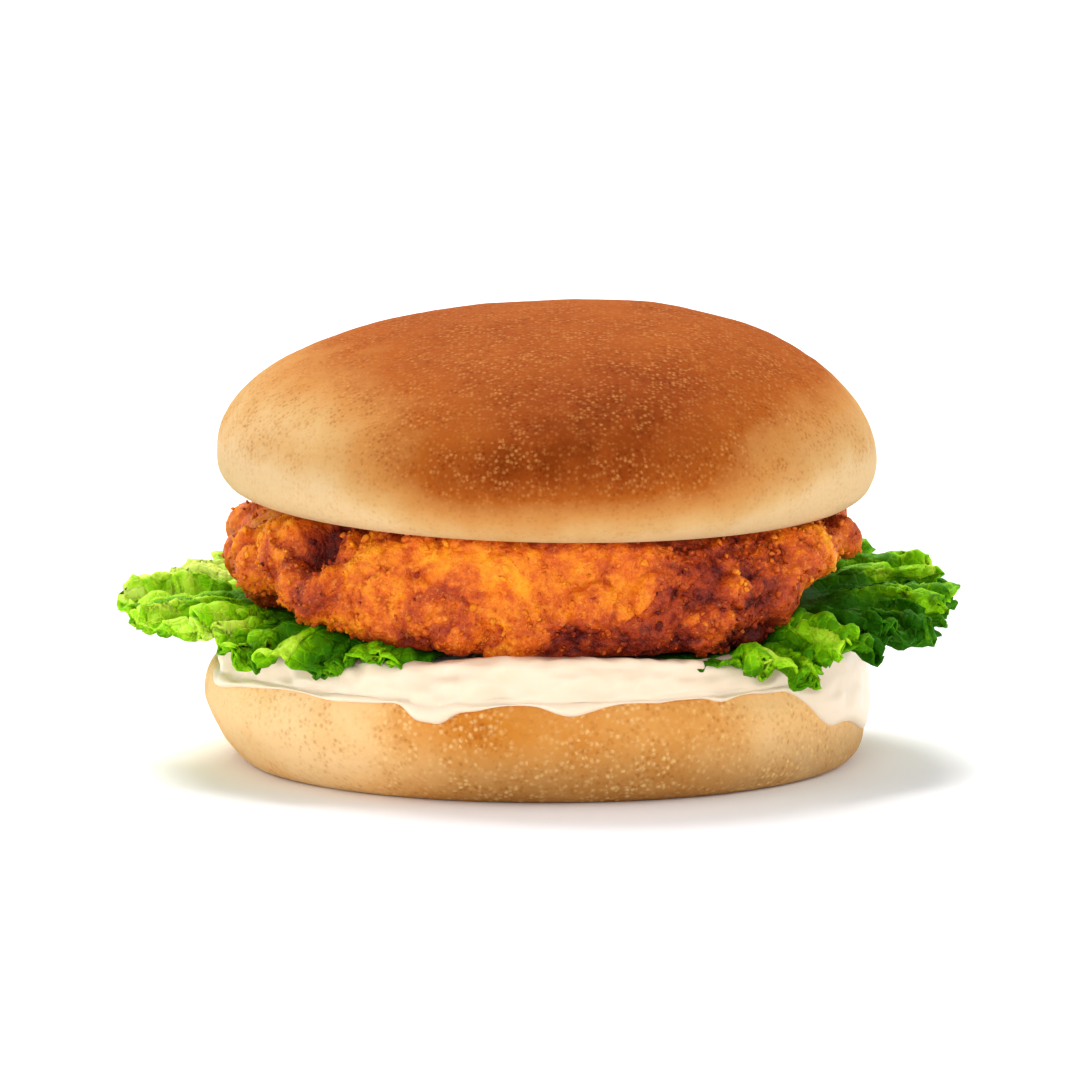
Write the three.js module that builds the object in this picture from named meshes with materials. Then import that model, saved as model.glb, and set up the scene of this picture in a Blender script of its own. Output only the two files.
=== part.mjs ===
// A chicken burger: a soft round bun, a thick spread of mayonnaise on the heel, two frilly lettuce leaves and
// one breaded chicken fillet, stacked and standing free. Millimetres. +Z is up, +X is to the right of
// someone facing the burger and -Y is its front. The origin is the middle of the heel's flat underside.

import * as THREE from "three";

// ---- Driving dimensions -------------------------------------------------------------------------------

const CLEARANCE = 0.3; // between one piece and the next

const HEEL_RADIUS = 50; // at its widest
const HEEL_HEIGHT = 15.5;
const HEEL_FOOT_RADIUS = 43.5; // of the flat that it stands on
const HEEL_WAIST = 8.5; // height of its widest place
const HEEL_CUT_RADIUS = 48; // of the cut face on top, inside its rounded rim

const CROWN_RADIUS = 49.7;
const CROWN_DOME = 22.2; // from its widest place up to its top
const CROWN_TUCK = 6.2; // from its cut face up to its widest place
const CROWN_CUT_RADIUS = 43.5;
const CROWN_LEAN = 6.4; // how far the top of the dome lies right of its middle
const CROWN_CENTRE_X = 1.5; // the crown sits a little to the right of the heel
const CROWN_CUT_HEIGHT = 40.4; // of the middle of its cut face
const CROWN_TILT = THREE.MathUtils.degToRad(1.1); // down to the right
const CROWN_NOD = THREE.MathUtils.degToRad(1.7); // down to the front

const MAYO_THICKNESS = 4; // under the leaves
const MAYO_SWELL = 1.2; // how much thicker it is where no leaf lies on it
const MAYO_ROUND = 6; // how far in from the heel's rim its top starts to round over
const MAYO_RIM = 1.7; // how thick it is where it hangs down the heel's side
const MAYO_RUN = 0.9; // how far down a usual stretch of its edge hangs

const LEAF_THICKNESS = 1;
const LEAF_INNER_RADIUS = 6;
const LEAF_FLAT_RADIUS = 48; // the leaves follow the fillet's underside inside this and ruffle outside it
const LEAF_REACH = 62.2; // from the burger's middle to the tips
const LEAF_SCALLOP = 0.04; // depth of the scalloped edge as a share of the reach
const LEAF_SAG = 1.2; // how far they hang below the fillet where its ends rise
const LEAF_RISE = 3.2; // how far the middle of the ruffled edge stands above the flat part
const LEAF_RUFFLE = 3.4; // how far the large ruffles go up and down from there

const FILLET_LENGTH = 98.5; // along X
const FILLET_WIDTH = 89; // along Y
const FILLET_CENTRE_X = 0.9;
const FILLET_CENTRE_Y = -1.2;
const FILLET_SQUARENESS = 2.3; // 2 is an ellipse, more is a rounder-cornered oblong
const FILLET_LIFT_LEFT = 7.7; // how far each end of its underside rises
const FILLET_LIFT_RIGHT = 9;
const FILLET_CURL_FROM = 30; // its underside is flat from the middle to here, and curls up to the right end
const FILLET_LUMPS = 2.2; // depth of the coarse lumps of the breading

const ROUND_STEPS = 58; // facets round the bun, the spread and the fillet

// ---- Heights that one layer hands to the next ---------------------------------------------------------

const MAYO_FOOT = HEEL_HEIGHT + CLEARANCE;
const MAYO_TOP = MAYO_FOOT + MAYO_THICKNESS;
const LEAF_FOOT = MAYO_TOP + CLEARANCE;
const FILLET_FOOT = LEAF_FOOT + LEAF_THICKNESS + CLEARANCE;

// How far the fillet's underside rises above its lowest place: slowly to the left, steeply at the right end.
function filletLift(x) {
  const end = FILLET_LENGTH / 2;
  if (x < 0) return FILLET_LIFT_LEFT * Math.min(1, -x / end) ** 1.7;
  return FILLET_LIFT_RIGHT * THREE.MathUtils.smoothstep(x, FILLET_CURL_FROM, end);
}

// Height of the crown's tilted cut face above a place on the ground.
function crownCutHeight(x, y) {
  return CROWN_CUT_HEIGHT - (x - CROWN_CENTRE_X) * Math.tan(CROWN_TILT) + y * Math.tan(CROWN_NOD);
}

// ---- Forms for round, uneven food ---------------------------------------------------------------------

const QUARTER_TURN = Math.PI / 2;
const FRONT = -QUARTER_TURN; // angles run round +Z from +X
const BACK = QUARTER_TURN;

// A smooth uneven wave between -1 and 1 that closes on itself after a full turn.
function uneven(angle, seed) {
  const slow = 0.5 * Math.sin(2 * angle + seed);
  return slow + 0.3 * Math.sin(5 * angle + 2.1 * seed) + 0.2 * Math.sin(9 * angle + 3.7 * seed);
}

// The smallest turn from one angle to another, without its sign.
function turnBetween(a, b) {
  return Math.abs(Math.atan2(Math.sin(a - b), Math.cos(a - b)));
}

// A quarter of a superellipse: 1 at 0, falling to 0 at 1. More than 2 makes it squarer than a circle.
function quarter(share, squareness = 2) {
  return Math.sqrt(Math.max(0, 1 - share ** squareness));
}

// A closed solid round +Z whose outline may change all the way round. outlineAt(angle) gives the points
// (radius, height) from the bottom of the axis to its top, always as many of them.
function lofted(outlineAt) {
  const solid = new THREE.LatheGeometry(outlineAt(FRONT), ROUND_STEPS).rotateX(Math.PI / 2);
  const places = solid.getAttribute("position");
  const rings = places.count / (ROUND_STEPS + 1);
  for (let step = 0; step <= ROUND_STEPS; step++) {
    const angle = FRONT + (2 * Math.PI * (step % ROUND_STEPS)) / ROUND_STEPS;
    outlineAt(angle).forEach((point, ring) => {
      places.setXYZ(step * rings + ring, point.x * Math.cos(angle), point.x * Math.sin(angle), point.y);
    });
  }
  solid.computeVertexNormals();
  return solid;
}

// ---- Bun ----------------------------------------------------------------------------------------------

// The heel's radius at a height: its side rounds under to the foot and, more tightly, over to the cut face.
function heelRadius(height) {
  if (height < HEEL_WAIST) {
    const down = quarter((HEEL_WAIST - height) / HEEL_WAIST, 2.4);
    return THREE.MathUtils.lerp(HEEL_FOOT_RADIUS, HEEL_RADIUS, down);
  }
  const up = quarter(Math.min(1, (height - HEEL_WAIST) / (HEEL_HEIGHT - HEEL_WAIST)), 2.6);
  return THREE.MathUtils.lerp(HEEL_CUT_RADIUS, HEEL_RADIUS, up);
}

function heelGeometry() {
  const rings = 12;
  const outline = [new THREE.Vector2(0, 0)];
  for (let ring = 0; ring <= rings; ring++) {
    const height = (HEEL_HEIGHT * (1 - Math.cos((Math.PI * ring) / rings))) / 2;
    outline.push(new THREE.Vector2(heelRadius(height), height));
  }
  outline.push(new THREE.Vector2(0, HEEL_HEIGHT));
  return lofted(() => outline);
}

// The crown, with the middle of its cut face at the origin. Its dome leans to the right.
function crownGeometry() {
  const tuckWidth = CROWN_RADIUS - CROWN_CUT_RADIUS;
  const outline = new THREE.Path();
  outline.moveTo(0, 0);
  outline.lineTo(CROWN_CUT_RADIUS, 0);
  outline.absellipse(CROWN_CUT_RADIUS, CROWN_TUCK, tuckWidth, CROWN_TUCK, -QUARTER_TURN, 0, false, 0);
  outline.absellipse(0, CROWN_TUCK, CROWN_RADIUS, CROWN_DOME, 0, QUARTER_TURN, false, 0);
  const points = outline.getPoints(5);
  points.at(-1).x = 0;
  const dome = lofted(() => points);
  const places = dome.getAttribute("position");
  for (let i = 0; i < places.count; i++) {
    const rise = places.getZ(i) / (CROWN_TUCK + CROWN_DOME);
    const inward = 1 - (places.getX(i) / CROWN_RADIUS) ** 2;
    places.setX(i, places.getX(i) + CROWN_LEAN * rise * inward);
  }
  dome.computeVertexNormals();
  return dome;
}

// ---- Mayonnaise ---------------------------------------------------------------------------------------

// The long drips of its edge: where round the burger, how far down past the usual run, and how wide.
const DRIPS = [
  { at: FRONT - 0.32, length: 3.4, width: 0.1 },
  { at: FRONT + 0.1, length: 1.4, width: 0.12 },
  { at: FRONT + 1.42, length: 8.6, width: 0.48 },
  { at: BACK - 0.55, length: 3.2, width: 0.12 },
  { at: BACK + 0.4, length: 3.8, width: 0.12 },
  { at: BACK + 1.15, length: 2.8, width: 0.16 },
];

// How far its edge hangs down the heel's side at an angle.
function mayoRun(angle) {
  const usual = MAYO_RUN * (1 + 0.3 * uneven(angle, 2));
  return DRIPS.reduce((run, drip) => {
    const away = turnBetween(angle, drip.at) / drip.width;
    return run + drip.length * Math.exp(-away * away);
  }, usual);
}

// A round slab on the heel's cut face whose edge hangs over the rim and down the side.
function mayoOutline(angle) {
  const run = mayoRun(angle);
  const rim = MAYO_RIM * (1 + 0.25 * uneven(angle, 5));
  const points = [new THREE.Vector2(0, MAYO_FOOT), new THREE.Vector2(HEEL_CUT_RADIUS, MAYO_FOOT)];
  // Down the inside, along the heel's own outline moved up and out by the clearance.
  for (const share of [0.06, 0.2, 0.4, 0.7, 1]) {
    const height = MAYO_FOOT - run * share;
    points.push(new THREE.Vector2(heelRadius(height - CLEARANCE) + CLEARANCE, height));
  }
  // Up the outside, fattest a little above the hanging edge.
  for (const share of [0.9, 0.65, 0.3]) {
    const height = MAYO_FOOT - run * share;
    const fat = rim * quarter(share, 4);
    points.push(new THREE.Vector2(heelRadius(height - CLEARANCE) + CLEARANCE + fat, height));
  }
  // Over the rounded shoulder and in to the middle. It swells up where no leaf presses it flat.
  const clear = Math.min(...LEAVES.map((leaf) => turnBetween(angle, leaf.middle) - leaf.spread));
  const swell = MAYO_SWELL * THREE.MathUtils.smoothstep(clear, 0.08, 0.3);
  const shoulder = HEEL_CUT_RADIUS - MAYO_ROUND;
  const width = MAYO_ROUND + HEEL_RADIUS - HEEL_CUT_RADIUS + rim;
  for (const turn of [0, 0.25, 0.5, 0.75, 1]) {
    const radius = shoulder + width * Math.cos(turn * QUARTER_TURN);
    const height = MAYO_FOOT + (MAYO_THICKNESS + swell) * Math.sin(turn * QUARTER_TURN);
    points.push(new THREE.Vector2(radius, height));
  }
  points.push(new THREE.Vector2(shoulder / 2, MAYO_TOP), new THREE.Vector2(0, MAYO_TOP));
  return points;
}

// ---- Lettuce ------------------------------------------------------------------------------------------

// middle: the way the leaf points. spread: its half width, as an angle. waves: half waves of its ruffle.
const LEAVES = [
  { name: "lettuce_leaf_left", middle: Math.PI + 0.08, spread: 1.14, waves: 5, start: 1 },
  { name: "lettuce_leaf_right", middle: -0.02, spread: 1.12, waves: 6, start: 4 },
];

// A thin sheet that fans out from near the burger's middle. It lies along the fillet's underside, and is
// scalloped and ruffled where it stands out past the fillet.
function leafGeometry({ middle, spread, waves, start }) {
  const leaf = new THREE.BoxGeometry(1, 1, 1, 8, 30, 1);
  const places = leaf.getAttribute("position");
  for (let i = 0; i < places.count; i++) {
    const along = places.getX(i) + 0.5;
    const across = 2 * places.getY(i);
    const rounded = 1 - 0.22 * Math.abs(across) ** 3;
    const edge = LEAF_REACH * (rounded + LEAF_SCALLOP * Math.sin(3.2 * waves * across + start));
    const radius = THREE.MathUtils.lerp(LEAF_INNER_RADIUS, edge, along);
    const angle = middle + spread * across;
    const large = Math.sin(0.5 * Math.PI * waves * across + start);
    const small = 0.35 * Math.sin(1.4 * Math.PI * waves * across + 2 * start);
    const free = THREE.MathUtils.smoothstep(radius, LEAF_FLAT_RADIUS, LEAF_REACH);
    const x = radius * Math.cos(angle);
    const rise = THREE.MathUtils.clamp(filletLift(x) - LEAF_SAG, free * LEAF_RISE, LEAF_RISE);
    const height = LEAF_FOOT + LEAF_THICKNESS * (places.getZ(i) + 0.5) + rise;
    places.setXYZ(i, x, radius * Math.sin(angle), height + free * LEAF_RUFFLE * (large + small));
  }
  leaf.computeVertexNormals();
  return leaf;
}

// ---- Breaded fillet -----------------------------------------------------------------------------------

// The radius of the fillet's rounded oblong seen from above.
function filletEdge(angle) {
  const share = Math.abs(Math.cos(angle) / (FILLET_LENGTH / 2)) ** FILLET_SQUARENESS;
  const other = Math.abs(Math.sin(angle) / (FILLET_WIDTH / 2)) ** FILLET_SQUARENESS;
  return (share + other) ** (-1 / FILLET_SQUARENESS) * (1 + 0.012 * uneven(angle, 1));
}

// A slab with fat rounded sides, craggy with coarse lumps, whose two ends curl up. It fills the height up to
// the crown's cut face.
function filletOutline(angle) {
  const edge = filletEdge(angle);
  const pointAt = (share, level) => {
    const craggy = Math.sin(7 * angle + 9 * level) * Math.sin(11 * angle - 6 * level + 1);
    const dent = FILLET_LUMPS * (0.5 - 0.5 * craggy);
    const side = 4 * level * (1 - level);
    const radius = share * (edge - dent * side);
    const x = FILLET_CENTRE_X + radius * Math.cos(angle);
    const y = FILLET_CENTRE_Y + radius * Math.sin(angle);
    const foot = FILLET_FOOT + filletLift(x);
    const top = crownCutHeight(x, y) - CLEARANCE - 0.6 * dent * THREE.MathUtils.smoothstep(share, 0.2, 0.9);
    return new THREE.Vector2(radius, THREE.MathUtils.lerp(foot, top, level));
  };
  const rings = 12;
  const points = [pointAt(0, 0), pointAt(0.45, 0)];
  for (let ring = 0; ring <= rings; ring++) {
    const turn = Math.PI * (ring / rings - 0.5);
    points.push(pointAt(0.8 + 0.2 * Math.abs(Math.cos(turn)) ** 0.8, 0.5 + 0.5 * Math.sin(turn)));
  }
  points.push(pointAt(0.45, 1), pointAt(0, 1));
  return points;
}

// ---- The burger ---------------------------------------------------------------------------------------

function piece(name, geometry, color, roughness) {
  const mesh = new THREE.Mesh(geometry, new THREE.MeshStandardMaterial({ color, roughness, metalness: 0 }));
  mesh.name = name;
  return mesh;
}

const burger = new THREE.Group();

burger.add(piece("bun_heel", heelGeometry(), "#e0ab68", 0.75));
burger.add(piece("mayonnaise", lofted(mayoOutline), "#f6ecd4", 0.35));
for (const leaf of LEAVES) burger.add(piece(leaf.name, leafGeometry(leaf), "#57a012", 0.5));

const fillet = piece("chicken_fillet", lofted(filletOutline), "#cf6f1e", 0.7);
fillet.position.set(FILLET_CENTRE_X, FILLET_CENTRE_Y, 0);
burger.add(fillet);

const crown = piece("bun_crown", crownGeometry(), "#b86c30", 0.65);
crown.position.set(CROWN_CENTRE_X, 0, CROWN_CUT_HEIGHT);
crown.rotation.set(CROWN_NOD, CROWN_TILT, 0);
burger.add(crown);

export default burger;
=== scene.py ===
import itertools
import math

import bmesh
import bpy
import numpy as np
from mathutils import Matrix, Vector


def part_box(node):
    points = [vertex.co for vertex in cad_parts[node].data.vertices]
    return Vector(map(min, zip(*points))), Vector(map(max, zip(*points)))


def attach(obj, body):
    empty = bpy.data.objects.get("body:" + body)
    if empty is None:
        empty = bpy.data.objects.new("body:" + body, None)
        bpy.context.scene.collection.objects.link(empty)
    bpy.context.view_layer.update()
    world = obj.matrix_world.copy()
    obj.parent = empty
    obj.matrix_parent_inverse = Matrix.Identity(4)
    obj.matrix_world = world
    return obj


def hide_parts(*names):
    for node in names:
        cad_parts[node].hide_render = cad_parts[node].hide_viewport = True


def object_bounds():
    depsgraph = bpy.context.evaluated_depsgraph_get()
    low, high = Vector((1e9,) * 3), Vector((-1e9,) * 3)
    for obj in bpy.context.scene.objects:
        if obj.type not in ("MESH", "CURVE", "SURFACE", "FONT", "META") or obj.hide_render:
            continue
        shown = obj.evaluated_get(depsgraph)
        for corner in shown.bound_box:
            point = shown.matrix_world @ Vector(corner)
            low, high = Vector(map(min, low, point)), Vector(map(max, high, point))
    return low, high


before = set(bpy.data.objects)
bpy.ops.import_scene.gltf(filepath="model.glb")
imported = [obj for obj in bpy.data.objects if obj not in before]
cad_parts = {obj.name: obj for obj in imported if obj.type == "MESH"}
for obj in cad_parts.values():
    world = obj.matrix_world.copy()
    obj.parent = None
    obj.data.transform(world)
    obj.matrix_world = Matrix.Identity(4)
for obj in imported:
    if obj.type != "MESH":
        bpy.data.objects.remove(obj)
cad_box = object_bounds()

# ---- Studio --------------------------------------------------------------------------------------------
# The burger stands on a white sweep inside a light tent that is bright at its two sides and dim in front.
# A soft lamp high up behind it lays a short shadow to the front and right; another low one fills the front.

MM = 0.001


def fill(node, inputs):
    """Links a socket, or sets any other value, into each named input of a node."""
    for name, value in inputs.items():
        if isinstance(value, bpy.types.NodeSocket):
            node.id_data.links.new(value, node.inputs[name])
        else:
            node.inputs[name].default_value = value
    return node


def put(tree, kind, inputs=None, **settings):
    """A new node with its own settings and its inputs."""
    node = tree.nodes.new("ShaderNode" + kind)
    for name, value in settings.items():
        setattr(node, name, value)
    return fill(node, inputs or {})


def math_node(tree, operation, *values, clamp=False):
    """The result of a sum on sockets or numbers."""
    node = put(tree, "Math", {i: v for i, v in enumerate(values)}, operation=operation, use_clamp=clamp)
    return node.outputs[0]


def ranged(tree, value, low, high, to_low=0.0, to_high=1.0):
    """A value eased from one range to another."""
    inputs = {"Value": value, "From Min": low, "From Max": high, "To Min": to_low, "To Max": to_high}
    return put(tree, "MapRange", inputs, interpolation_type="SMOOTHSTEP").outputs[0]


def finish_of(name, roughness, inputs):
    """A new material with a Principled shader: returns the material, its tree and the shader."""
    material = bpy.data.materials.new(name)
    material.use_nodes = True
    shader = material.node_tree.nodes["Principled BSDF"]
    fill(shader, {"Roughness": roughness, **inputs})
    return material, material.node_tree, shader


tent = bpy.data.worlds.new("light_tent")
tent.use_nodes = True
sky = tent.node_tree
way = put(sky, "SeparateXYZ", {0: put(sky, "TexCoord").outputs["Generated"]})
from_behind = ranged(sky, way.outputs["Y"], -1.0, 0.4, 0.2, 0.6)
from_left = ranged(sky, way.outputs["X"], -0.3, -1.0, 0.0, 0.9)
from_right = ranged(sky, way.outputs["X"], 0.2, 1.0, 0.0, 1.3)
from_sides = math_node(sky, "ADD", from_left, from_right)
brightness = math_node(sky, "ADD", from_behind, from_sides)
fill(sky.nodes["Background"], {"Color": (1, 1, 1, 1), "Strength": brightness})
bpy.context.scene.world = tent
bpy.context.scene.view_settings.view_transform = "Standard"

SWEEP_HALF = 20.0
sweep_mesh = bpy.data.meshes.new("white_sweep")
sweep_corners = [(x * SWEEP_HALF, y * SWEEP_HALF, 0) for x, y in ((-1, -1), (1, -1), (1, 1), (-1, 1))]
sweep_mesh.from_pydata(sweep_corners, [], [(0, 1, 2, 3)])
sweep = bpy.data.objects.new("white_sweep", sweep_mesh)
bpy.context.scene.collection.objects.link(sweep)
sweep_mesh.materials.append(finish_of("sweep_white", 0.9, {"Base Color": (0.955, 0.955, 0.97, 1)})[0])

burger_middle = (Vector(cad_box[0]) + Vector(cad_box[1])) / 2


def lamp(name, kind, power, reach, side, height, **settings):
    """A lamp aimed at the burger's middle. side is its angle from the front, height its angle up."""
    light = bpy.data.lights.new(name, kind)
    light.energy = power
    for key, value in settings.items():
        setattr(light, key, value)
    holder = bpy.data.objects.new(name, light)
    away = Vector((math.sin(side) * math.cos(height), -math.cos(side) * math.cos(height), math.sin(height)))
    holder.location = away * reach + burger_middle
    holder.rotation_euler = away.to_track_quat("Z", "Y").to_euler()
    bpy.context.scene.collection.objects.link(holder)


lamp("key_behind_left", "SUN", 3.2, 1.0, math.radians(-163), math.radians(57), angle=math.radians(34))
lamp("front_left_soft_box", "AREA", 3.0, 0.9, math.radians(-10), math.radians(14), size=0.5)

# The camera looks slightly down at the burger from far off, through a long lens.
LOOK_DOWN = math.radians(8)
camera_data = bpy.data.cameras.new("camera")
camera = bpy.data.objects.new("camera", camera_data)
aim = burger_middle + Vector((1.0, 0, -1.23)) * MM
stand_off, framed_width = 2.0, 163.6 * MM
camera.location = aim + stand_off * Vector((0, -math.cos(LOOK_DOWN), math.sin(LOOK_DOWN)))
camera.rotation_euler = (math.pi / 2 - LOOK_DOWN, 0, 0)
camera_data.lens = camera_data.sensor_width * stand_off / framed_width
bpy.context.scene.collection.objects.link(camera)
bpy.context.scene.camera = camera

# ---- Heel of the bun -----------------------------------------------------------------------------------
# The bottom half of a soft wheat roll, sliced flat. Its side is a thin golden crust that bulges over the
# flat it was baked on, grainy with the semolina that dusted the tin.


def box_mm(node):
    """A CAD piece's lowest and highest corners in millimetres."""
    return [np.array(corner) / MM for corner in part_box(node)]


def scatter(cells, seed):
    """A repeatable random number from 0 to 1 for each whole-numbered cell of space."""
    a, b, c = (cells[..., i].astype(np.int64) & 0xFFFFF for i in range(3))
    mixed = (a * 73856093) ^ (b * 19349663) ^ (c * 83492791) ^ ((seed + 1) * 40503)
    mixed = ((mixed ^ (mixed >> 15)) * 0x2C1B3C6D) & 0xFFFFFFFF
    mixed = ((mixed ^ (mixed >> 12)) * 0x297A2D39) & 0xFFFFFFFF
    return ((mixed ^ (mixed >> 15)) & 0xFFFFFF) / 0x1000000


def clouds(points, size, seed, octaves=1):
    """Smooth uneven noise from about -1 to 1 with features of this size, and finer ones in each octave."""
    total = 0
    for octave in range(octaves):
        place = points * 2**octave / size
        cell = np.floor(place)
        part = place - cell
        ease = part**3 * (part * (part * 6 - 15) + 10)
        for corner in itertools.product((0, 1), repeat=3):
            share = np.prod(np.where(corner, ease, 1 - ease), axis=-1)
            slope = [scatter(cell + corner, seed + 7 * octave + 31 * way) * 2 - 1 for way in range(3)]
            rise = sum(slope[way] * (part[..., way] - corner[way]) for way in range(3))
            total = total + share * rise / 2**octave
    return 1.6 * total


def ramp(value, low, high):
    """0 below low, 1 above high, and smooth between."""
    share = np.clip((value - low) / (high - low), 0, 1)
    return share * share * (3 - 2 * share)


def hump(value, place, width):
    """1 at a place, falling away over a width to either side."""
    return np.exp(-(((value - place) / width) ** 2))


def front_angle(points):
    """Each point's angle round the burger in degrees: 0 at the front, 90 at the right."""
    return np.degrees(np.arctan2(points[..., 0], -points[..., 1]))


def surface_normals(grid):
    """The unit normals of a closed round grid of points, rings by steps, facing out."""
    round_way = np.roll(grid, -1, 1) - np.roll(grid, 1, 1)
    up_way = np.gradient(grid, axis=0)
    normal = np.cross(round_way, up_way)
    return normal / np.maximum(np.linalg.norm(normal, axis=-1, keepdims=True), 1e-9)


def new_piece(name, points, faces, material, **values):
    """A smooth mesh piece from points in millimetres. values are numbers kept for each point."""
    mesh = bpy.data.meshes.new(name)
    mesh.from_pydata((points.reshape(-1, 3) * MM).tolist(), [], faces)
    mesh.shade_smooth()
    for key, value in values.items():
        kept = mesh.attributes.new(key, "FLOAT", "POINT")
        kept.data.foreach_set("value", value.ravel().astype(np.float32))
    mesh.materials.append(material)
    piece = bpy.data.objects.new(name, mesh)
    bpy.context.scene.collection.objects.link(piece)
    return piece


def round_piece(name, grid, material, **values):
    """A closed piece from a grid of rings by steps that goes round it, closed by a fan at each end."""
    rings, steps = grid.shape[:2]
    number = np.arange(rings * steps).reshape(rings, steps)
    after = np.roll(number, -1, 1)
    quads = np.stack([number[:-1], after[:-1], after[1:], number[1:]], -1).reshape(-1, 4)
    poles = [rings * steps, rings * steps + 1]
    fans = [(poles[0], b, a) for a, b in zip(number[0].tolist(), after[0].tolist())]
    fans += [(poles[1], a, b) for a, b in zip(number[-1].tolist(), after[-1].tolist())]
    points = np.vstack([grid.reshape(-1, 3), grid[0].mean(0), grid[-1].mean(0)])
    values = {k: np.append(v.ravel(), [v[0].mean(), v[-1].mean()]) for k, v in values.items()}
    return new_piece(name, points, quads.tolist() + fans, material, **values)


def turned_grid(radii, heights, angles):
    """Points round +Z: radii and heights are one for each ring, or one for each ring and step."""
    x, y = radii * np.cos(angles), radii * np.sin(angles)
    return np.stack(np.broadcast_arrays(x, y, heights + 0 * angles), -1)


def group(name, inputs, outputs):
    """An empty shader node group with these sockets. Returns it with its input and output nodes."""
    tree = bpy.data.node_groups.new(name, "ShaderNodeTree")
    for socket, (kind, value) in inputs.items():
        made = tree.interface.new_socket(socket, in_out="INPUT", socket_type="NodeSocket" + kind)
        if value is not None:
            made.default_value = value
    for socket, kind in outputs.items():
        tree.interface.new_socket(socket, in_out="OUTPUT", socket_type="NodeSocket" + kind)
    return tree, tree.nodes.new("NodeGroupInput"), tree.nodes.new("NodeGroupOutput")


def mixed(tree, factor, a, b, how="MIX"):
    """Two colours mixed by a factor."""
    node = put(tree, "Mix", data_type="RGBA", blend_type=how)
    fill(node, {0: factor, 6: a, 7: b})
    return node.outputs[2]


def shades(tree, factor, stops):
    """A colour ramp through (place, colour) stops."""
    node = put(tree, "ValToRGB", {"Fac": factor})
    ramp_of = node.color_ramp
    while len(ramp_of.elements) < len(stops):
        ramp_of.elements.new(0.5)
    for element, (place, color) in zip(ramp_of.elements, stops):
        element.position = place
        element.color = srgb(*color)
    return node.outputs[0]


def srgb(red, green, blue):
    """A paint shade of 0 to 255 as the linear colour that shaders take."""
    shares = [c / 255 for c in (red, green, blue)]
    return (*(((c + 0.055) / 1.055) ** 2.4 if c > 0.04 else c / 12.92 for c in shares), 1)


# Grain of a dusted crust: fine pale specks of flour, tiny browned pits, and the relief of both.
crust_grain, grain_in, grain_out = group(
    "crust_grain",
    {"Vector": ("Vector", None), "Size": ("Float", 0.0005)},
    {"Flour": "Float", "Pits": "Float", "Blotches": "Float", "Height": "Float"},
)
per_metre = math_node(crust_grain, "DIVIDE", 1.0, grain_in.outputs["Size"])
at = grain_in.outputs["Vector"]
fine = put(crust_grain, "TexNoise", {"Vector": at, "Scale": per_metre, "Detail": 3.0, "Roughness": 0.7})
unit = math_node(crust_grain, "MULTIPLY", grain_in.outputs["Size"], 0.9)
shift = put(crust_grain, "CombineXYZ", {0: unit, 1: unit, 2: unit}).outputs[0]
nudge = {0: fine.outputs["Color"], 1: shift, 2: at}
bent = put(crust_grain, "VectorMath", nudge, operation="MULTIPLY_ADD").outputs[0]
other = put(crust_grain, "VectorMath", {0: bent, 1: (0.3, 0.7, 0.1)}, operation="ADD").outputs[0]
wide = math_node(crust_grain, "MULTIPLY", per_metre, 0.08)
broad = put(crust_grain, "TexNoise", {"Vector": at, "Scale": wide, "Detail": 4.0, "Roughness": 0.55})
patchy = ranged(crust_grain, broad.outputs[0], 0.38, 0.6, 0.35, 1.0)
kinds = []
for place in (bent, other):
    specks = put(crust_grain, "TexVoronoi", {"Vector": place, "Scale": per_metre})
    chosen = put(crust_grain, "SeparateColor", {0: specks.outputs["Color"]}).outputs[0]
    soft = ranged(crust_grain, specks.outputs["Distance"], 0.75, 0.1)
    speck = math_node(crust_grain, "MULTIPLY", soft, ranged(crust_grain, chosen, 0.2, 1.0))
    kinds.append(math_node(crust_grain, "MULTIPLY", speck, patchy))
raised = math_node(crust_grain, "MULTIPLY_ADD", kinds[0], 0.4, fine.outputs[0])
height = math_node(crust_grain, "SUBTRACT", raised, math_node(crust_grain, "MULTIPLY", kinds[1], 0.4))
fill(grain_out, {"Flour": kinds[0], "Pits": kinds[1], "Blotches": broad.outputs[0], "Height": height})


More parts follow.
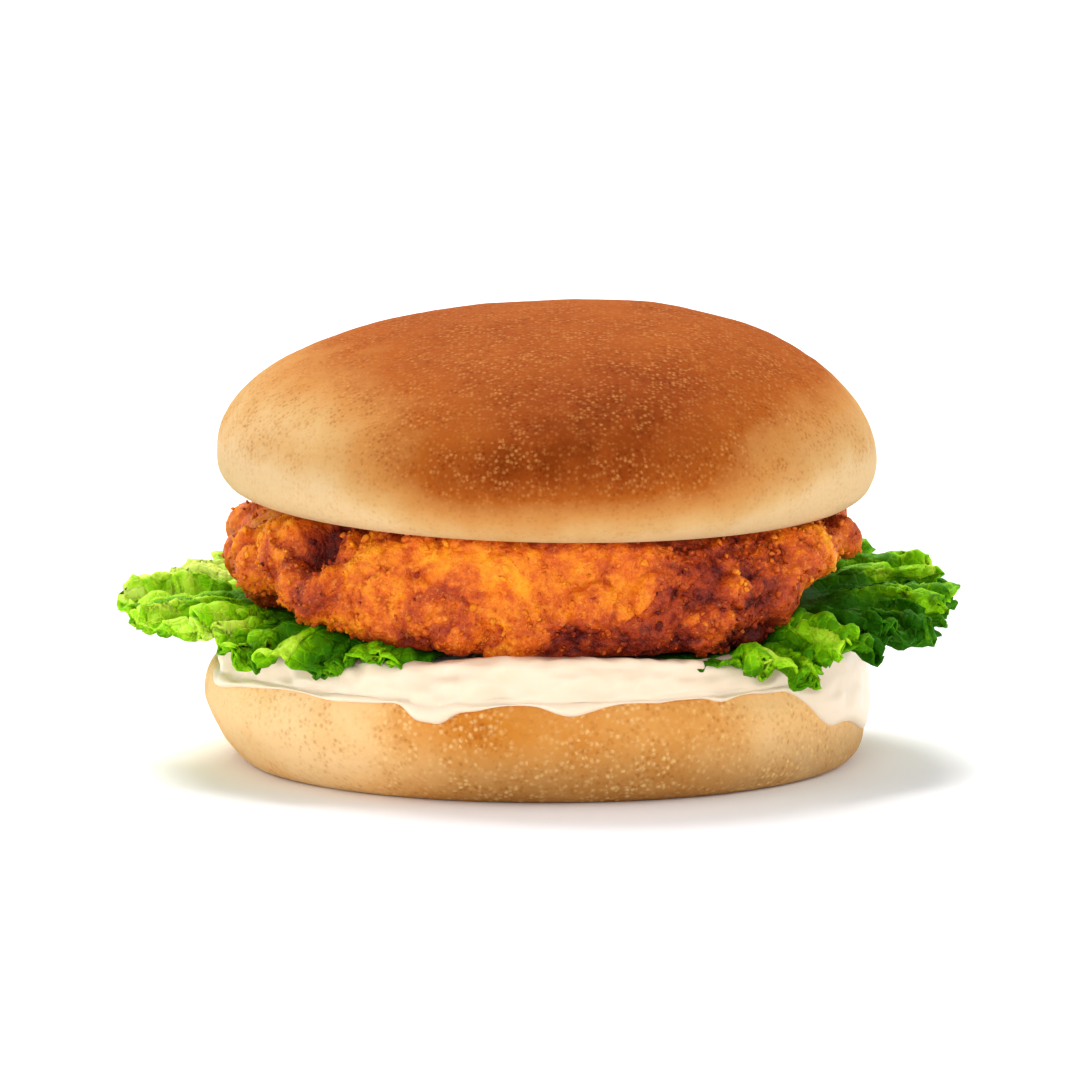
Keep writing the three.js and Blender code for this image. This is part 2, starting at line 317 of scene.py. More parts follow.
def bread_crust(name, stops, blotches, flour_shade, flour_share, pit_share, grain_size, relief):
    """Crust coloured by how far it has baked and by painted shade, with flour and browned pits over it."""
    material, tree, shader = finish_of(
        name,
        0.68,
        {
            "Subsurface Weight": 0.06,
            "Subsurface Radius": (1.0, 0.5, 0.25),
            "Subsurface Scale": 0.001,
            "Specular IOR Level": 0.02,
        },
    )
    at = put(tree, "TexCoord").outputs["Object"]
    grain = put(tree, "Group", node_tree=crust_grain)
    fill(grain, {"Vector": at, "Size": grain_size})
    # The baked value holds how far the crust browned, with painted light and shade added to it.
    baked = put(tree, "Attribute", attribute_name="baked").outputs["Fac"]
    dusted = put(tree, "Attribute", attribute_name="dusted").outputs["Fac"]
    drift = ranged(tree, grain.outputs["Blotches"], 0.3, 0.7, -blotches, blotches)
    # Where the foot-shade value is kept, a darker dull brown is mixed in: painted shade low on the heel.
    dull = put(tree, "Attribute", attribute_name="dull").outputs["Fac"]
    tone = shades(tree, math_node(tree, "ADD", baked, drift), stops)
    tone = mixed(tree, math_node(tree, "MULTIPLY", dull, 0.5), tone, srgb(116, 84, 50))
    flour = math_node(tree, "MULTIPLY", dusted, flour_share)
    pale = math_node(tree, "MULTIPLY", grain.outputs["Flour"], flour)
    floury = mixed(tree, pale, tone, srgb(*flour_shade))
    scorch = math_node(tree, "MULTIPLY", dusted, pit_share)
    dark = math_node(tree, "MULTIPLY", grain.outputs["Pits"], scorch)
    scorched = mixed(tree, 1.0, floury, (0.62, 0.42, 0.25, 1), "MULTIPLY")
    fill(shader, {"Base Color": mixed(tree, dark, floury, scorched)})
    bump = put(tree, "Bump", {"Height": grain.outputs["Height"], "Strength": relief, "Distance": 0.0003})
    fill(shader, {"Normal": bump.outputs[0]})
    return material


HEEL_STEPS, HEEL_RINGS, FLAT_RINGS = 420, 80, 14
low, high = box_mm("bun_heel")
heel_radius, heel_height = (high[0] - low[0]) / 2, high[2]
heel_cut = 0.955 * heel_radius

turn = np.linspace(-math.pi, math.pi, HEEL_STEPS, endpoint=False)
# Its left side slopes in from high up to the flat underside, and its right side stands nearly upright.
heel_foot = (0.888 + 0.036 * np.cos(turn)) * heel_radius
waist = 7.6 - 2.2 * np.cos(turn)
roundness = 1.8 + 0.8 * np.cos(turn)


def heel_side(heights):
    """The heel's radius at each height and angle, before the small unevenness."""
    under = np.clip((waist - heights) / waist, 0, 1)
    over = np.clip((heights - waist) / (heel_height - waist), 0, 1)
    below = heel_foot + (heel_radius - heel_foot) * np.sqrt(1 - under**roundness)
    above = heel_cut + (heel_radius - heel_cut) * np.sqrt(1 - over**2.6)
    return np.where(heights < waist, below, above)


rise = (1 - np.cos(np.linspace(0, math.pi, HEEL_RINGS))) / 2 * heel_height
side = turned_grid(heel_side(rise[:, None]), rise[:, None], turn)
inward = np.linspace(0.01, 0.99, FLAT_RINGS)[:, None]
floor_part = turned_grid(inward * heel_foot, 0 * inward, turn)
cut_part = turned_grid(inward[::-1] * heel_cut, 0 * inward + heel_height, turn)
grid = np.vstack([floor_part, side, cut_part])
free = ramp(grid[..., 2], 0, 2) * ramp(np.hypot(grid[..., 0], grid[..., 1]), 30, 45)
swell = 0.45 * clouds(grid, 16, 3, 2) + 0.14 * clouds(grid, 4, 5, 2)
grid = grid + surface_normals(grid) * (swell * free)[..., None]
# Most baked in a patch a little left of the front, under the cut. Least at the left, where the tin kept it
# pale and the semolina clung to it. Low down it is darker and duller, which is painted shade near the floor.
angle, share = front_angle(grid), np.clip(grid[..., 2] / heel_height, 0, 1)
baked = 0.5 - 0.5 * ramp(-angle, 4, 44) * ramp(150 + angle, 0, 40)
# A little more baked low down: painted shade near the floor.
baked = baked - 0.32 * ramp(angle, 24, 50) * ramp(150 - angle, 0, 40) + 0.1 * ramp(-share, -0.4, -0.05)
baked = baked + 0.36 * hump(angle, -8, 15) * hump(share, 0.75, 0.3)
baked = baked + 0.1 * hump(angle, 26, 10) * hump(share, 0.7, 0.3) + 0.1 * clouds(grid, 12, 15, 2)
dusted = np.clip(0.9 - 0.6 * ramp(np.abs(angle - 6), 45, 80) * ramp(180 - np.abs(angle), 0, 60), 0, 1)
heel_crust = bread_crust(
    "heel_crust",
    [
        (0.0, (246, 206, 150)),
        (0.25, (236, 184, 118)),
        (0.5, (218, 154, 80)),
        (0.8, (204, 128, 44)),
        (1.0, (180, 98, 24)),
    ],
    blotches=0.07,
    flour_shade=(244, 206, 140),
    flour_share=0.8,
    pit_share=0.7,
    grain_size=0.00075,
    relief=0.8,
)
# Darker and duller low down, least at the left: painted shade where the heel meets the floor.
dull = ramp(-share, -0.75, -0.1) * (1 - 0.85 * ramp(-angle, 2, 35) * ramp(150 + angle, 0, 40))
heel = round_piece("heel", grid, heel_crust, baked=baked, dusted=dusted, dull=dull)
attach(heel, "root")
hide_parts("bun_heel")

# ---- Mayonnaise ----------------------------------------------------------------------------------------
# A thick cold spread, piped on the heel and pressed out by the layers above until it rolls over the cut
# edge in soft lobes, and hangs down the crust in a few long drips.

mayo_foot = heel_height + 0.15
mayo_top = box_mm("mayonnaise")[1][2] - 1.2
# Where its lower edge hangs down or stays up: the angle from the front, how far down, and half its width.
DRIPS = [
    (-92, -1.3, 11),
    (-72, 1.6, 7),
    (-60, 0.5, 9),
    (-38, 0.6, 6),
    (-25, -0.3, 3),
    (-20.3, 2.0, 2.6),
    (-16.4, 2.3, 2.6),
    (-11, 0.9, 4),
    (-2, -0.35, 4),
    (6, 1.3, 4.5),
    (17, -0.8, 4),
    (28, -1.3, 3.5),
    (34, 0.8, 3),
    (40, -0.4, 2),
    (148, 3.2, 5),
    (176, 0.8, 8),
    (203, 4.0, 4.5),
    (222, 0.8, 7),
    (246, 2.8, 7),
]
MAYO_RINGS, TOP_RINGS = 74, 10
angle = front_angle(turned_grid(np.ones((1, 1)), 0, turn))
run = 0.75 + 0.25 * np.sin(9 * turn + 1)
for place, length, width in DRIPS:
    run = run + length * hump((angle - place + 180) % 360 - 180, 0, width)
# A broad lobe has slid far down its right side.
run = run + (7.0 * ramp(angle, 49, 64) + 3.4 * ramp(angle, 66, 90)) * ramp(-angle, -132, -100)
run = 0.5 + np.log1p(np.exp((run - 0.5) * 4)) / 4
fat = 1.3 + 0.3 * np.sin(7 * turn + 2) + 0.2 * np.sin(13 * turn) + 0.12 * run
fat = fat - 1.8 * hump(angle, 92, 34) - 3.0 * hump(angle, -93, 13)
# Its side bends from the lower lip, pressed on the crust, out to its fattest and over the rounded shoulder.
bend = np.linspace(-math.pi / 2, math.pi / 2, MAYO_RINGS)[:, None]
fattest = mayo_foot + 0.9 - 0.45 * run
crest = mayo_top + 0.9 + 1.3 * hump(angle, 2, 21)
heights = fattest + np.where(bend < 0, fattest - mayo_foot + run, crest - fattest) * np.sin(bend)
shoulder = heel_cut - 2
lip = heel_side(np.minimum(heights, mayo_foot)) - 0.9
hanging = lip + (fat + 0.9) * np.cos(bend) ** 0.55
resting = shoulder + (heel_side(fattest) + fat - shoulder) * np.cos(bend) ** 0.5
side = turned_grid(np.where(bend < 0, hanging, resting), heights, turn)
inward = np.linspace(0.02, 0.98, TOP_RINGS)[:, None]
under = turned_grid(inward * (lip[0] - 1), mayo_foot - 0.4 * inward * (run + 1), turn)
# It stays heaped up to the fillet in front, where no leaf lies between them.
heaped = mayo_top + 2.2 * hump(angle, 2, 21) * ramp(inward[::-1], 0.65, 1)
top = turned_grid(inward[::-1] * shoulder, heaped, turn)
grid = np.vstack([under, side, top])
# It folds where it is free: not on the top under the leaves, nor along the lip that clings to the crust.
free = ramp(np.hypot(grid[..., 0], grid[..., 1]), 40, 48) * ramp(np.arange(len(grid)), 18, 50)[:, None]
folds = clouds(grid * (1, 1, 1.6) + 2 * clouds(grid, 9, 14)[..., None], 7, 11, 2)
swell = 0.9 * folds - 0.5 * np.abs(clouds(grid * (1, 1, 2), 6, 12)) + 0.12 * clouds(grid, 2.2, 13)
free = free * (1 - 0.7 * hump(angle, 90, 30) - 0.6 * hump(angle, -93, 20))
grid = grid + surface_normals(grid) * (swell * free)[..., None]

mayo_finish, tree, shader = finish_of(
    "mayonnaise",
    0.35,
    {
        "Subsurface Weight": 0.35,
        "Subsurface Radius": (1.0, 0.75, 0.45),
        "Subsurface Scale": 0.002,
        "Specular IOR Level": 0.3,
    },
)
at = put(tree, "TexCoord").outputs["Object"]
streaks = put(tree, "TexNoise", {"Vector": at, "Scale": 260.0, "Detail": 3.0, "Roughness": 0.5}).outputs[0]
fill(shader, {"Base Color": mixed(tree, streaks, srgb(238, 214, 184), srgb(244, 226, 203))})
fill(shader, {"Roughness": ranged(tree, streaks, 0.3, 0.7, 0.28, 0.42)})
bump = put(tree, "Bump", {"Height": streaks, "Strength": 0.25, "Distance": 0.0006})
fill(shader, {"Normal": bump.outputs[0]})
mayo = round_piece("mayonnaise_spread", grid, mayo_finish)
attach(mayo, "root")
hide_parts("mayonnaise")

# ---- Lettuce -------------------------------------------------------------------------------------------
# Two torn leaves of a frilly green lettuce, laid on the mayonnaise with their crisped edges outward. A
# leaf is a third of a millimetre thick, flat where the fillet presses it and ruffled where it is free.

LEAF_THICKNESS = 0.35
LEAF_ROWS, LEAF_STEPS = 66, 680
fillet_low, fillet_high = box_mm("chicken_fillet")
lowest_foot = fillet_low[2] - 0.2
half_length, half_width = ((fillet_high - fillet_low) / 2)[:2]
# How far the ends of the fillet curl up, and from where to where its right end does.
LIFT_LEFT, LIFT_RIGHT = 7.7, 9.0
CURL_FROM, CURL_TO = 30, 46.5


def fillet_foot(x):
    """Height of the fillet's underside, which curls up gently to its left end and sharply at its right."""
    share = np.clip(-x / half_length, 0, 1)
    return lowest_foot + LIFT_LEFT * share**1.7 + LIFT_RIGHT * ramp(x, CURL_FROM, CURL_TO)


def sheet_normals(grid):
    """The unit normals of an open sheet of points, facing up."""
    normal = np.cross(np.gradient(grid, axis=1), np.gradient(grid, axis=0))
    return -normal / np.maximum(np.linalg.norm(normal, axis=-1, keepdims=True), 1e-9)


def frilly_leaf(name, node, seed, margin, ruffle, fresh, tints, colour):
    """A fan-shaped leaf. margin lists the angle from the front, how far it reaches there, and its height.

    ruffle is how strongly it ruffles, and the paleness how pale a green it is before painted light and
    shade are added. The tints list where it is paler or darker, most of them painted light and shade:
    the angle, half the width, and how much.
    """
    places, reaches, heights = zip(*margin)
    degrees = np.linspace(places[0], places[-1], LEAF_STEPS)[None, :]
    turn = np.radians(degrees - 90)
    along = np.linspace(0, 1, LEAF_ROWS)[:, None] ** 0.7
    rim = np.stack([50 * np.cos(turn), 50 * np.sin(turn), 0 * turn], -1)
    length = np.radians(degrees) * 56
    # The margin: broad lobes, small scallops and torn teeth.
    edge = np.interp(degrees, places, reaches) - 1.2
    edge = edge + 2.0 * clouds(rim, 9, seed) + 2.2 * clouds(rim, 4, seed + 1)
    edge = edge + 2.4 * np.abs(clouds(rim, 1.5, seed + 2, 2))
    radius = 8 + (edge - 8) * along
    x, y = radius * np.cos(turn), radius * np.sin(turn)
    # It follows the fillet's underside, and from there runs out to its margin's own height.
    out = np.clip((radius - 44) / (edge - 44), 0, 1)
    tucked = np.minimum(fillet_foot(x), 25.4) - 0.8
    grid = np.stack([x, y, tucked + (np.interp(degrees, places, heights) - tucked) * out**1.3], -1)
    round_way = np.stack([-np.sin(turn), np.cos(turn), 0 * turn], -1)
    # Large ruffles rise and fall and lean over at their crests.
    phase = 2 * math.pi * (length / 15 + 0.7 * clouds(rim, 20, seed + 3)) + 1.2 * clouds(grid, 13, seed + 4)
    strength = ramp(radius, 40, 52) * (0.9 + 0.7 * clouds(rim, 16, seed + 5)) * ruffle
    grid = grid + round_way * (1.0 * strength * np.sin(2 * phase))[..., None]
    grid[..., 2] += 1.5 * strength * np.sin(phase)
    crest = np.sin(phase) * strength
    # Middling ruffles stand across the large ones, nearer the margin.
    phase = 2 * math.pi * (length / 5.6 + 0.9 * clouds(rim, 9, seed + 6)) + 1.5 * clouds(grid, 6, seed + 7)
    strength = ramp(radius, 41, 54) * (0.9 + 0.8 * clouds(rim, 8, seed + 8)) * (0.4 + 0.6 * ruffle)
    grid = grid + round_way * (0.9 * strength * np.sin(2 * phase))[..., None]
    grid = grid + sheet_normals(grid) * (1.9 * strength * np.sin(phase))[..., None]
    crest = crest + 0.7 * np.sin(phase) * strength
    # Small crimps along the margin, and crumples all over the free part.
    phase = 2 * math.pi * (length / 2.4 + 1.0 * clouds(rim, 4, seed + 9)) + 2.0 * clouds(grid, 4, seed + 10)
    crimp = (0.2 + 0.65 * ramp(edge, 46, 56)) * ramp(along, 0.72, 1) * np.sin(phase)
    crimp = crimp * (0.8 + 0.8 * clouds(rim, 5, seed + 11))
    crumple = 0.9 * clouds(grid, 3.2, seed + 12, 2) * ramp(radius, 40, 50)
    grid = grid + sheet_normals(grid) * (crimp + crumple)[..., None]
    number = np.arange(LEAF_ROWS * LEAF_STEPS).reshape(LEAF_ROWS, LEAF_STEPS)
    quads = np.stack([number[:-1, :-1], number[:-1, 1:], number[1:, 1:], number[1:, :-1]], -1).reshape(-1, 4)
    # Palest along the margin. Paler on the crests, darker in the valleys and low down where it lies under
    # the
    # fillet: painted light and shade.
    low_down = ramp(-grid[..., 2], -24, -18)
    fresh = fresh * ramp(radius, 40, 54) + 0.18 * crest + 0.16 * ramp(along, 0.75, 1) + 0.12 * crimp
    fresh = fresh + 0.14 * clouds(grid, 6, seed + 13, 2) - 0.25 * low_down
    # The tints are mostly painted light and shade: a glow through the left leaf, shade on the right one.
    for place, width, amount in tints:
        fresh = fresh + amount * hump(degrees, place, width)
    leaf = new_piece(name, grid, quads.tolist(), colour, fresh=fresh)
    shell = leaf.modifiers.new("thickness", "SOLIDIFY")
    shell.thickness = LEAF_THICKNESS * MM
    shell.offset = 0
    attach(leaf, "root")
    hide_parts(node)


leaf_green, tree, shader = finish_of(
    "lettuce_green",
    0.5,
    {
        "Subsurface Weight": 0.4,
        "Subsurface Radius": (0.6, 1.0, 0.1),
        "Subsurface Scale": 0.001,
        "Specular IOR Level": 0.04,
    },
)
at = put(tree, "TexCoord").outputs["Object"]
# The fresh value is the leaf's own paleness of green, with painted light and shade added to it.
fresh = put(tree, "Attribute", attribute_name="fresh").outputs["Fac"]
mottle = put(tree, "TexNoise", {"Vector": at, "Scale": 300.0, "Detail": 4.0, "Roughness": 0.6})
nudge = {0: mottle.outputs["Color"], 1: (0.0025, 0.0025, 0.0025), 2: at}
bent = put(tree, "VectorMath", nudge, operation="MULTIPLY_ADD").outputs[0]
blisters = put(tree, "TexVoronoi", {"Vector": bent, "Scale": 560.0}, feature="DISTANCE_TO_EDGE").outputs[0]
vein = ranged(tree, blisters, 0.16, 0.0)
drift = math_node(tree, "MULTIPLY_ADD", vein, 0.12, ranged(tree, mottle.outputs[0], 0.3, 0.7, -0.14, 0.14))
green = shades(
    tree,
    math_node(tree, "MULTIPLY", math_node(tree, "ADD", fresh, drift), 0.8),
    [
        (0.0, (34, 90, 3)),
        (0.2, (48, 110, 4)),
        (0.4, (84, 144, 5)),
        (0.6, (134, 200, 10)),
        (0.8, (184, 230, 54)),
        (1.0, (208, 242, 104)),
    ],
)
fill(shader, {"Base Color": green})
height = math_node(tree, "SUBTRACT", mottle.outputs[0], math_node(tree, "MULTIPLY", vein, 0.35))
bump = put(tree, "Bump", {"Height": height, "Strength": 0.6, "Distance": 0.0006})
fill(shader, {"Normal": bump.outputs[0]})
LEFT_MARGIN = [
    (-150, 46, 20.8),
    (-136, 59, 23.0),
    (-124, 60, 24.0),
    (-106, 61.0, 23.6),
    (-90, 62.6, 23.6),
    (-75, 62.0, 23.6),
    (-60, 60, 23.0),
    (-50, 57, 22.0),
    (-44, 54, 18.6),
    (-38, 51.5, 19.8),
    (-30, 50, 20.4),
    (-25, 50, 19.4),
    (-20, 46, 20.6),
]
RIGHT_MARGIN = [
    (29, 45, 21.0),
    (33, 50, 19.8),
    (37, 54, 18.6),
    (46, 57, 18.4),
    (53, 57.5, 20.4),
    (60, 59.5, 21.8),
    (68, 61.2, 22.8),
    (80, 62.8, 23.8),
    (92, 63.4, 24.4),
    (111, 64, 25.6),
    (126, 63, 24.8),
    (138, 58, 23.5),
    (152, 46, 21.0),
]
# Mostly painted light and shade: a glow of light through the left leaf's far hump, shade on the right's
# front.
LEFT_TINTS = [(-108, 13, 0.7), (-56, 9, 0.05), (-38, 9, -0.1)]
RIGHT_TINTS = [(64, 10, -0.5), (88, 12, -0.2), (47, 7, 0.4), (118, 14, 0.05)]
for name, node, seed, margin, ruffle, fresh, tints in [
    ("lettuce_left", "lettuce_leaf_left", 21, LEFT_MARGIN, 0.85, 0.66, LEFT_TINTS),
    ("lettuce_right", "lettuce_leaf_right", 47, RIGHT_MARGIN, 1.1, 0.36, RIGHT_TINTS),
]:
    frilly_leaf(name, node, seed, margin, ruffle, fresh, tints, leaf_green)
# ---- Breaded fillet ------------------------------------------------------------------------------------
# A chicken breast fillet dredged twice in seasoned flour and deep fried. The breading sets in rounded
# crags with deep dark creases between them, golden where it is thin and red-brown where it browned most.


def popcorn(points, size, seed):
    """Rounded knobs side by side, with sharp creases between them: 0 in a crease, up to 1 on a knob."""
    place = points / size
    cell = np.floor(place)
    nearest = np.full(points.shape[:-1], 9.0)
    number = nearest.copy()
    for step in itertools.product((-1, 0, 1), repeat=3):
        near = cell + step
        spot = near + np.stack([scatter(near, seed + i) for i in range(3)], -1)
        far = np.linalg.norm(place - spot, axis=-1)
        number = np.where(far < nearest, scatter(near, seed + 3), number)
        nearest = np.minimum(nearest, far)
    return np.sqrt(np.clip(1 - (nearest / 0.98) ** 2, 0, 1)) * (0.35 + 0.65 * number)


middle = (fillet_low + fillet_high) / 2
FILLET_STEPS, FILLET_RINGS, HIDDEN_RINGS = 980, 86, 8
# The crown rests on it, tilted a little to the right and nodding to the front.
TILT, NOD = math.radians(1.1), math.radians(1.7)
crown_low, crown_high = box_mm("bun_crown")
crown_middle = (crown_low[0] + crown_high[0]) / 2
crown_radius = (crown_high[0] - crown_low[0]) / 2 + 0.3
crown_foot = crown_low[2] + 0.87 * crown_radius * math.hypot(math.tan(TILT), math.tan(NOD))

turn = np.linspace(-math.pi, math.pi, FILLET_STEPS, endpoint=False)
edge = (np.abs(np.cos(turn) / half_length) ** 2.3 + np.abs(np.sin(turn) / half_width) ** 2.3) ** (-1 / 2.3)
lean = np.linspace(-math.pi / 2, math.pi / 2, FILLET_RINGS)[:, None]
# Its edge rounds under tightly at the front and back, and more at the two ends.
tucked = 0.2 - 0.11 * np.sin(turn) ** 2
share, level = 1 - tucked * (1 - np.abs(np.cos(lean)) ** 0.8), 0.5 + 0.5 * np.sin(lean)
inward = np.linspace(0.975, 0.02, HIDDEN_RINGS)[:, None]
share = np.vstack([inward[::-1] * (1 - tucked), share, inward * (1 - tucked)])
level = np.vstack([0 * inward, level, 0 * inward + 1])
on_side = np.vstack([0 * inward, ramp(np.cos(lean), 0.0, 0.3), 0 * inward]) + 0 * turn
# Its two ends are pinched: they slant in towards the foot, and the left one towards the crown too.
at_left, at_right = np.clip(-np.cos(turn), 0, 1) ** 4, np.clip(np.cos(turn), 0, 1) ** 4
pinch = 0.03 * at_left + 0.05 * at_right + (0.02 * at_left + 0.08 * at_right) * ramp(-level, -0.6, 0.0)
pinch = pinch + (0.32 * at_left + 0.05 * at_right) * ramp(level, 0.38, 1.02)
radius = share * (1 - pinch) * (edge - 1.2)
x, y = middle[0] + radius * np.cos(turn), middle[1] + radius * np.sin(turn)
foot = fillet_foot(x)
cut = crown_foot - (x - crown_middle) * math.tan(TILT) + y * math.tan(NOD) - 0.3
grid = np.stack([x, y, foot + (cut - foot) * level], -1)
normal = surface_normals(grid)
from_front = np.degrees(np.arctan2(np.cos(turn), -np.sin(turn)))


def around(place, height, width, tall):
    """1 at an angle from the front and a share of the fillet's height, falling away round it."""
    return hump((from_front - place + 180) % 360 - 180, 0, width) * hump(level, height, tall)


# Large knobs of batter: angle from the front, share of the height, radius, how far each stands out.
KNOBS = [
    (-58, 0.70, 5.6, 2.8),
    (-70, 0.60, 4.0, 2.4),
    (-82, 0.30, 4.4, 1.6),
    (-60, 0.92, 3.4, 0.8),
    (-66, 0.34, 4.2, 1.8),
    (-48, 0.36, 5.4, 2.2),
    (-33, 0.62, 6.0, 1.4),
    (-17, 0.24, 4.6, 1.2),
    (10, 0.46, 4.0, 1.9),
    (21.5, 0.56, 4.0, 2.2),
    (38.5, 0.56, 2.6, 2.0),
    (33, 0.22, 4.0, 1.6),
    (52, 0.30, 4.4, 1.8),
    (60, 0.72, 6.0, 2.0),
    (80, 0.55, 3.0, 2.6),
    (110, 0.50, 6.0, 2.4),
    (131, 0.30, 4.4, 2.0),
    (150, 0.66, 5.5, 2.2),
    (172, 0.30, 4.0, 1.8),
    (196, 0.46, 6.0, 2.6),
    (214, 0.80, 4.0, 1.8),
    (231, 0.62, 5.0, 2.6),
    (252, 0.36, 5.0, 2.0),
]
# How craggy the breading is, from smooth batter at 0 to clusters of crumbs at 1.
crag = 0.6 + 0.4 * clouds(grid, 24, 91, 2) - 0.7 * around(-8, 0.7, 17, 0.35) + 0.5 * around(40, 0.5, 14, 0.5)
crag = np.clip(crag + 0.35 * around(-60, 0.3, 16, 0.4), 0.1, 1)
warp = 1.8 * np.stack([clouds(grid, 6, way, 2) for way in (31, 32, 33)], -1)
relief = 2.0 * clouds(grid * (1, 1, 1.2), 14, 51, 2)
for place, height, size, out in KNOBS:
    ring = HIDDEN_RINGS + int(round((math.asin(2 * height - 1) / math.pi + 0.5) * (FILLET_RINGS - 1)))
    step = int(np.argmin(np.abs((from_front - place + 180) % 360 - 180)))
    far = np.linalg.norm(grid + 0.6 * warp - grid[ring, step], axis=-1) / size
    relief = relief + out * np.sqrt(np.clip(1 - far**2, 0, 1))
relief = relief - 5.0 * around(-48, 0.72, 3.4, 0.28) - 1.2 * around(29, 0.5, 3, 0.4)
relief = relief - 1.0 * around(8, 0.1, 12, 0.12)
lumps = popcorn(grid + warp, 5.6, 61)
crumbs = popcorn(grid + 0.6 * warp, 2.5, 71)
relief = relief + (0.5 + 2.1 * crag) * (lumps - 0.45) + (0.15 + 1.2 * crag) * (crumbs - 0.4)
flaky = np.abs(clouds(grid + 0.5 * warp, 1.4, 81, 2))
relief = relief + (0.15 + 0.55 * crag) * (0.35 - flaky)
grid = grid + normal * (relief * (0.15 + 0.85 * on_side))[..., None]

# Where it browned: golden on the smooth front, maroon in the crease at the left and the crags at the right.
# The deep crease at the left is partly browning, partly painted shade. The creases between lumps and crumbs
# are darkened as painted shade, and so is the thin band at the top under the crown's rim.
browned = 0.5 + 0.25 * clouds(grid, 12, 41, 2)
# Darker in the creases between lumps and crumbs: painted shade.
browned = browned + 0.42 * (0.5 - lumps) * (0.4 + crag) + 0.55 * crag * (0.45 - crumbs)
for place, height, width, tall, amount in [
    (-5, 0.72, 14, 0.24, -0.1),
    (-17, 0.82, 8, 0.18, -0.26),
    (13, 0.48, 6, 0.30, -0.03),
    (21.5, 0.56, 4.5, 0.22, -0.04),
    (-57, 0.74, 6, 0.22, -0.34),
    (-33, 0.66, 6, 0.25, -0.12),
    # The deep crease at the left: partly browning, partly painted shade.
    (-48, 0.72, 4, 0.28, 0.85),
    (-57, 0.46, 4, 0.16, 0.30),
    (-45, 0.32, 6, 0.16, 0.55),
    (-74, 0.60, 7, 0.40, 0.16),
    (8, 0.1, 12, 0.2, 0.46),
    (-15, 0.55, 8, 0.12, 0.26),
    (38, 0.60, 11, 0.36, 0.4),
    (42, 0.16, 14, 0.26, 0.24),
    (38.5, 0.58, 2.8, 0.13, -0.55),
    (62, 0.78, 10, 0.35, -0.20),
    (80, 0.50, 7, 0.40, 0.05),
    (120, 0.40, 14, 0.40, 0.34),
    (165, 0.60, 18, 0.40, -0.28),
    (215, 0.40, 16, 0.40, 0.36),
    (250, 0.70, 14, 0.30, -0.24),
]:
    browned = browned + amount * around(place, height, width, tall)
# Darker along its foot. The thin band at the top is painted shadow of the crown's rim.
browned = browned + 0.16 * ramp(-level, -0.2, 0.0) + 0.25 * ramp(level + 0 * turn, 0.88, 1.0)

breading, tree, shader = finish_of(
    "fried_breading",
    0.45,
    {
        "Subsurface Weight": 0.05,
        "Subsurface Radius": (1.0, 0.35, 0.08),
        "Subsurface Scale": 0.001,
        "Specular IOR Level": 0.24,
    },
)
at = put(tree, "TexCoord").outputs["Object"]
# The browned value holds how far it browned, with painted shade in the creases.
fry = put(tree, "Attribute", attribute_name="browned").outputs["Fac"]
mottle = put(tree, "TexNoise", {"Vector": at, "Scale": 420.0, "Detail": 5.0, "Roughness": 0.7}).outputs[0]
grit = put(tree, "TexNoise", {"Vector": at, "Scale": 1500.0, "Detail": 3.0, "Roughness": 0.6}).outputs[0]
golden = shades(
    tree,
    math_node(tree, "ADD", fry, ranged(tree, mottle, 0.3, 0.7, -0.19, 0.19)),
    [
        (0.0, (246, 166, 24)),
        (0.2, (236, 134, 14)),
        (0.42, (214, 96, 9)),
        (0.62, (176, 62, 10)),
        (0.82, (136, 38, 10)),
        (1.0, (88, 14, 6)),
    ],
)
specks = math_node(tree, "MULTIPLY", ranged(tree, grit, 0.54, 0.7), ranged(tree, fry, 0.95, 0.5, 0.0, 0.4))
fill(shader, {"Base Color": mixed(tree, specks, golden, srgb(244, 164, 74))})
fill(shader, {"Roughness": ranged(tree, grit, 0.3, 0.7, 0.32, 0.6)})
bump = put(tree, "Bump", {"Height": grit, "Strength": 0.9, "Distance": 0.0005})
fill(shader, {"Normal": bump.outputs[0]})
fillet = round_piece("breaded_fillet", grid, breading, browned=browned)
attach(fillet, "root")
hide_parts("chicken_fillet")

# ---- Crumbs of the breading ----------------------------------------------------------------------------
# Loose crisp crumbs and flakes of fried flour that stick to the fillet's side, from a fifth of a
# millimetre to one and a half across, thickest where the breading is craggy.

CRUMBS = 6500
chance = np.random.default_rng(5)


def crumb_form():
    """A rough little ball: its points and triangles."""
    form = bmesh.new()
    bmesh.ops.create_icosphere(form, subdivisions=1, radius=1)
    points = np.array([v.co[:] for v in form.verts])
    faces = np.array([[v.index for v in f.verts] for f in form.faces])
    form.free()
    return points, faces


def turned_at_random(count):
    """That many rotations, as matrices, from random unit quaternions."""
    quaternion = chance.normal(size=(4, count))
    w, x, y, z = quaternion / np.linalg.norm(quaternion, axis=0)
    return np.stack(
        [
            np.stack([1 - 2 * (y * y + z * z), 2 * (x * y - z * w), 2 * (x * z + y * w)], -1),
            np.stack([2 * (x * y + z * w), 1 - 2 * (x * x + z * z), 2 * (y * z - x * w)], -1),
            np.stack([2 * (x * z - y * w), 2 * (y * z + x * w), 1 - 2 * (x * x + y * y)], -1),
        ],
        1,
    )


